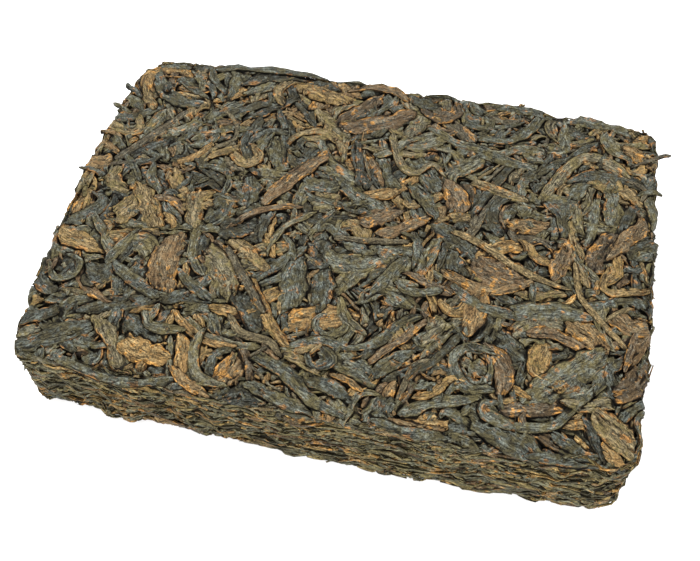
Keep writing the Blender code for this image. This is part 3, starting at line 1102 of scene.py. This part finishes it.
def make_core():
    """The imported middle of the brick: finer leaf and dust, in relief, which shows in the holes between leaves."""
    form = bmesh.new()
    bmesh.ops.create_cube(form, size=2.0)
    for axis, cuts in ((0, 95), (1, 65), (2, 26)):
        along = [edge for edge in form.edges if abs(edge.verts[0].co[axis] - edge.verts[1].co[axis]) > 0.5]
        bmesh.ops.subdivide_edges(form, edges=along, cuts=cuts, use_grid_fill=True)
    unit = np.array([vert.co for vert in form.verts])
    half_x, half_y = half_sizes(unit[:, 0] * LENGTH / 2, unit[:, 1] * WIDTH / 2)
    x = unit[:, 0] * (half_x - CORE_INSET)
    y = unit[:, 1] * (half_y - CORE_INSET)
    distance, out_x, out_y = past_outline(x, y)
    pull = np.maximum(distance + CORE_INSET, 0)
    spread = np.maximum(np.abs(unit[:, 0]), np.abs(unit[:, 1]))
    rim = spread**8
    bumps = 0.35 * waves(x, y + unit[:, 2] * 6, 3.0, 21) + 0.25 * waves(x, y + unit[:, 2] * 9, 1.6, 22)
    x -= out_x * pull
    y -= out_y * pull
    z = THICKNESS / 2 + unit[:, 2] * (THICKNESS / 2 - CORE_DEPTH + bumps * (1 - rim) - 0.5 * rim)
    places = np.stack((x, y, z), -1)
    # The vertices of the sides follow the layers in front of them.
    outer = spread > 0.999
    away = np.hypot(x[outer, None] - OUTLINE[:, 0], y[outer, None] - OUTLINE[:, 1])
    s = away.argmin(1) * PERIMETER / len(OUTLINE)
    layered = 0.3 * waves(s, z[outer] * 3, 3.0, 23)
    places[outer] = side_place(s, z[outer], side_plate(s, z[outer]) - CORE_SINK + layered)
    for vert, place in zip(form.verts, places * METRE):
        vert.co = place
    bmesh.ops.triangulate(form, faces=form.faces[:])
    bmesh.ops.recalc_face_normals(form, faces=form.faces[:])
    mesh = bpy.data.meshes.new("core")
    form.to_mesh(mesh)
    form.free()
    mesh.materials.append(CORE)
    return finished_piece("core", mesh)


# ---------------------------------------------------------------- sides

def side_plate(s, z):
    """How far out the sides come: ragged, and tucked in under the leaves that hang over the rims."""
    near_rim = np.minimum(z, THICKNESS - z)
    tuck = np.where(z < THICKNESS / 2, 0.2, 0.9) * np.clip(1 - near_rim / 3.0, 0, 1) ** 1.5
    turn = s / PERIMETER * 2 * math.pi
    ragged = waves(np.cos(turn) * 76, np.sin(turn) * 76 + z * 0.8, 16, 8)
    bitten = waves(np.cos(turn) * 76 + z * 0.4, np.sin(turn) * 76, 6, 9)
    out = 0.05 + 0.6 * ragged + 0.5 * bitten - tuck
    x, y, _ = np.moveaxis(side_place(s, z, 0 * s), -1, 0)
    for spot_x, spot_y, spot_z, long, high, depth in HOLLOWS:
        away = (np.hypot(x - spot_x, y - spot_y) / long) ** 2 + ((z - spot_z) / high) ** 2
        out = out - depth * np.clip(1 - away, 0, 1) ** 0.7
    return out


# The sides' layers: kind, number at the most, heights and lengths in mm.
SIDE_ROUNDS = (
    (LAYER, 240, (0.7, 1.5), (8, 18)),
    (SHRED, 900, (0.6, 1.3), (3.5, 8)),
    (SHRED, 4200, (0.45, 1.0), (1.8, 5.0)),
)


def make_sides():
    bed = Bed((0, PERIMETER), (0, THICKNESS), side_plate, side_place, lambda s, z: (z > 0.4) & (z < THICKNESS - 1.0), True)
    pieces = {"D": [], "B": []}
    for kind, count, widths, lengths in SIDE_ROUNDS:
        for _ in range(count):
            spot = bed.bare_spot()
            if spot is None or bed.bare_share() < 0.01:
                break
            width = random.uniform(*widths)
            length = random.uniform(*lengths)
            path = best_path(bed, length, width, 0.75, 4, heading=0.0, spread=0.2, least=0.25)
            if path is None:
                continue
            path[:, 1] = np.clip(path[:, 1], width / 2 + 0.1, THICKNESS - width / 2 - 0.2)
            lift = random.uniform(0.3, 0.8) if path[0, 1] > 3 and random.uniform() < 0.05 else 0.0
            measures = lay(bed, kind, path, width, random.uniform(0, 0.25), random.normal(0, 0.12), lift)
            letter = "B" if random.uniform() < 0.15 else "D"
            pieces[letter].append((bed, kind, measures, random.beta(1.6, 1.8)))
    bed.settle()
    print("sides:", {k: len(v) for k, v in pieces.items()}, "bare", round(bed.bare_share(), 4))
    half = len(pieces["D"]) // 2
    leaves_piece("side_outer_layers", pieces["D"][:half], SIDE_LAYER)
    leaves_piece("side_inner_layers", pieces["D"][half:], SIDE_LAYER)
    leaves_piece("side_brown_layers", pieces["B"], BROWN_LEAF)


# ---------------------------------------------------------------- underside

UNDER_STAGES = (
    (UNDER_BROAD, (0.6, 0.4, 0.0), (4.0, 7.0), (9, 16), 0.5, 3, 0.5, 0.5),
    (UNDER_LEAF, (0.78, 0.17, 0.05), (2.4, 4.0), (9, 18), 0.3, 5, 0.45, 0.2),
    (UNDER_LEAF, (0.7, 0.28, 0.02), (1.5, 3.0), (5, 11), 0.4, 7, 0.3, 0.08),
    (SMALL, (0.7, 0.3, 0.0), (1.2, 2.6), (4, 8), 0.5, 7, 0.2, 0.03),
)


def under_plate(x, y):
    return np.minimum(-0.15 + 0.15 * waves(x, y, 34, 5), 0)


def make_underside():
    reach_x, reach_y = LENGTH / 2 + 6, WIDTH / 2 + 6
    turned_inside = lambda x, y: face_inside(x, -y)
    bed = Bed((-reach_x, reach_x), (-reach_y, reach_y), under_plate, under_place, turned_inside)
    laid = lay_face(bed, (), (), UNDER_STAGES)
    leaves_piece("under_dark_leaves", laid["D"] + laid["small D"], DARK_LEAF)
    leaves_piece("under_brown_leaves", laid["B"] + laid["S"], BROWN_LEAF)
    print("underside:", {k: len(v) for k, v in laid.items()}, "bare", round(bed.bare_share(), 4))


# ---------------------------------------------------------------- studio

CAMERA_AZIMUTH = math.radians(14.2)
CAMERA_ELEVATION = math.radians(56.42)
CAMERA_ROLL = math.radians(-1.77)
CAMERA_TARGET = Vector((-0.0016, 0.0009, 0.0))
CAMERA_DISTANCE = 0.2443
CAMERA_LENS = 47.57


def make_camera():
    back = Vector((
        math.sin(CAMERA_AZIMUTH) * math.cos(CAMERA_ELEVATION),
        -math.cos(CAMERA_AZIMUTH) * math.cos(CAMERA_ELEVATION),
        math.sin(CAMERA_ELEVATION),
    ))
    right = Vector((0, 0, 1)).cross(back).normalized()
    up = back.cross(right)
    rolled_right = right * math.cos(CAMERA_ROLL) + up * math.sin(CAMERA_ROLL)
    rolled_up = up * math.cos(CAMERA_ROLL) - right * math.sin(CAMERA_ROLL)
    turn = Matrix((rolled_right, rolled_up, back)).transposed().to_4x4()
    camera = bpy.data.cameras.new("camera")
    camera.lens = CAMERA_LENS
    camera.sensor_width = 36.0
    camera.clip_start = 0.01
    holder = bpy.data.objects.new("camera", camera)
    holder.matrix_world = Matrix.Translation(CAMERA_TARGET + back * CAMERA_DISTANCE) @ turn
    bpy.context.scene.collection.objects.link(holder)
    bpy.context.scene.camera = holder


def make_floor():
    form = bmesh.new()
    bmesh.ops.create_grid(form, x_segments=1, y_segments=1, size=3.0)
    bmesh.ops.translate(form, verts=form.verts[:], vec=(0, 0, -0.0002))
    mesh = bpy.data.meshes.new("floor")
    form.to_mesh(mesh)
    form.free()
    finish = Finish("white paper")
    place = finish.node("ShaderNodeTexCoord", output=3)
    grain = finish.noise(place, 40.0)
    colour = finish.ramp(grain, ((0.0, (0.86, 0.86, 0.86)), (1.0, (0.9, 0.9, 0.9))))
    mesh.materials.append(finish.surface(colour, 0.8, None, specular=0.2))
    floor = bpy.data.objects.new("floor", mesh)
    bpy.context.scene.collection.objects.link(floor)


def make_light(name, place, size, power):
    light = bpy.data.lights.new(name, "AREA")
    light.shape = "SQUARE"
    light.size = size
    light.energy = power
    holder = bpy.data.objects.new(name, light)
    holder.location = place
    holder.rotation_euler = (-Vector(place)).to_track_quat("-Z", "Y").to_euler()
    bpy.context.scene.collection.objects.link(holder)


def make_studio():
    world = bpy.data.worlds.new("studio")
    world.use_nodes = True
    world.node_tree.nodes["Background"].inputs["Color"].default_value = (1.0, 1.0, 1.0, 1.0)
    world.node_tree.nodes["Background"].inputs["Strength"].default_value = 1.1
    bpy.context.scene.world = world
    make_light("back softbox", (-0.35, 0.55, 0.75), 0.45, 12.0)
    make_light("front softbox", (0.25, -0.6, 0.6), 0.5, 8.0)
    bpy.context.scene.view_settings.view_transform = "Standard"
    bpy.context.scene.view_settings.look = "None"


make_camera()
make_floor()
make_studio()
upper_bed = make_upper_face()
make_sides()
make_underside()
make_core()
